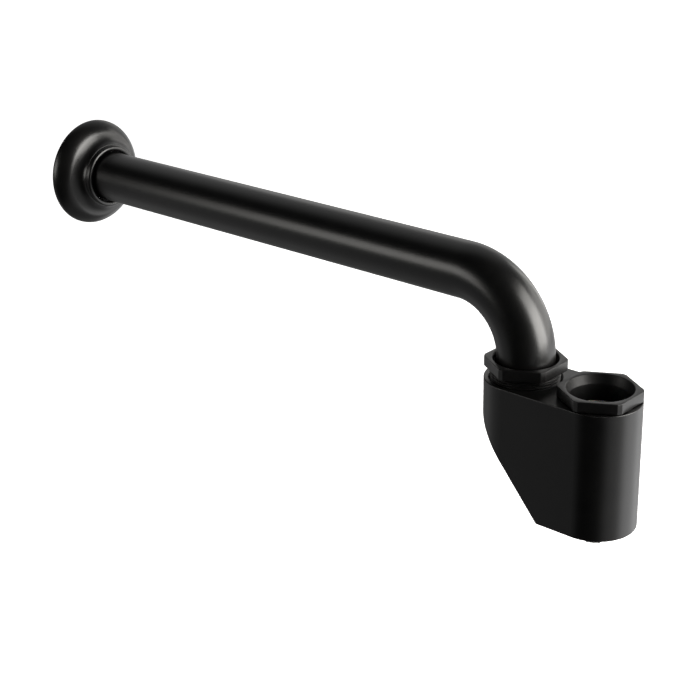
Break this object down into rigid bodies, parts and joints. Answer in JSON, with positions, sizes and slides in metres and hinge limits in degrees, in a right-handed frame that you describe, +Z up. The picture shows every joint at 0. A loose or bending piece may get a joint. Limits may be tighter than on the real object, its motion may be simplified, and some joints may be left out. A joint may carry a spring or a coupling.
{
  "type": "p trap",
  "caption": "Wash basin P trap: slot-shaped cast body with a slanted back, two hexagonal gland nuts, and a bent waste pipe that runs to a bell-shaped wall escutcheon.",
  "frame": {"origin": "centre of the inlet port, on the inlet nut's bore axis, level with the body's top face", "axes": "+Z up along the inlet bore, out of its mouth; +Y towards the wall, along the waste pipe; +X to the right, seen from the front"},
  "size_m": [0.0694, 0.4408, 0.1697],
  "materials": {
    "black_coat": "satin black powder coat on brass",
    "black_rubber": "matte moulded rubber",
    "white_plastic": "matte moulded polypropylene"
  },
  "bodies": {
    "trap": {"trap_body": "black_coat", "inlet_seal": "black_rubber", "outlet_seal": "black_rubber"},
    "inlet_ring": {"inlet_slip_ring": "white_plastic"},
    "inlet_nut": {"inlet_gland_nut": "black_coat"},
    "outlet_ring": {"outlet_slip_ring": "white_plastic"},
    "outlet_nut": {"outlet_gland_nut": "black_coat"},
    "pipe": {"wall_pipe": "black_coat"},
    "escutcheon": {"wall_escutcheon": "black_coat", "escutcheon_grip_ring": "black_rubber"},
    "gasket": {"drain_gasket": "black_rubber"},
    "plug": {"drain_plug": "black_coat"}
  },
  "joints": [
    {"name": "inlet_nut_lift", "type": "slide", "parent": "trap", "child": "inlet_ring", "axis": [0, 0, 1], "range_m": [-0.00001, 0.00901]},
    {"name": "inlet_nut_turn", "type": "hinge", "parent": "inlet_ring", "child": "inlet_nut", "pos_m": [0, 0, 0], "axis": [0, 0, 1], "range_deg": [0, 2160]},
    {"name": "outlet_nut_lift", "type": "slide", "parent": "trap", "child": "outlet_ring", "axis": [0, 0, 1], "range_m": [-0.00461, 0.00391]},
    {"name": "outlet_nut_turn", "type": "hinge", "parent": "outlet_ring", "child": "outlet_nut", "pos_m": [0, 0.0475, 0], "axis": [0, 0, 1], "range_deg": [-1104, 936]},
    {"name": "drain_plug_drop", "type": "slide", "parent": "trap", "child": "gasket", "axis": [0, 0, -1], "range_m": [-0.00001, 0.00751]},
    {"name": "drain_plug_turn", "type": "hinge", "parent": "gasket", "child": "plug", "pos_m": [0, 0, 0], "axis": [0, 0, -1], "range_deg": [0, 1800]},
    {"name": "pipe_swivel", "type": "hinge", "parent": "trap", "child": "pipe", "pos_m": [0, 0.0475, 0], "axis": [0, 0, 1], "range_deg": [-135, 135]},
    {"name": "escutcheon_slide", "type": "slide", "parent": "pipe", "child": "escutcheon", "axis": [0, -1, 0], "range_m": [0, 0.28]}
  ],
  "couplings": [
    {"joint": "inlet_nut_lift", "follows": "inlet_nut_turn", "m_per_rad": 0.00023873},
    {"joint": "outlet_nut_lift", "follows": "outlet_nut_turn", "m_per_rad": 0.00023873},
    {"joint": "drain_plug_drop", "follows": "drain_plug_turn", "m_per_rad": 0.00023873}
  ]
}
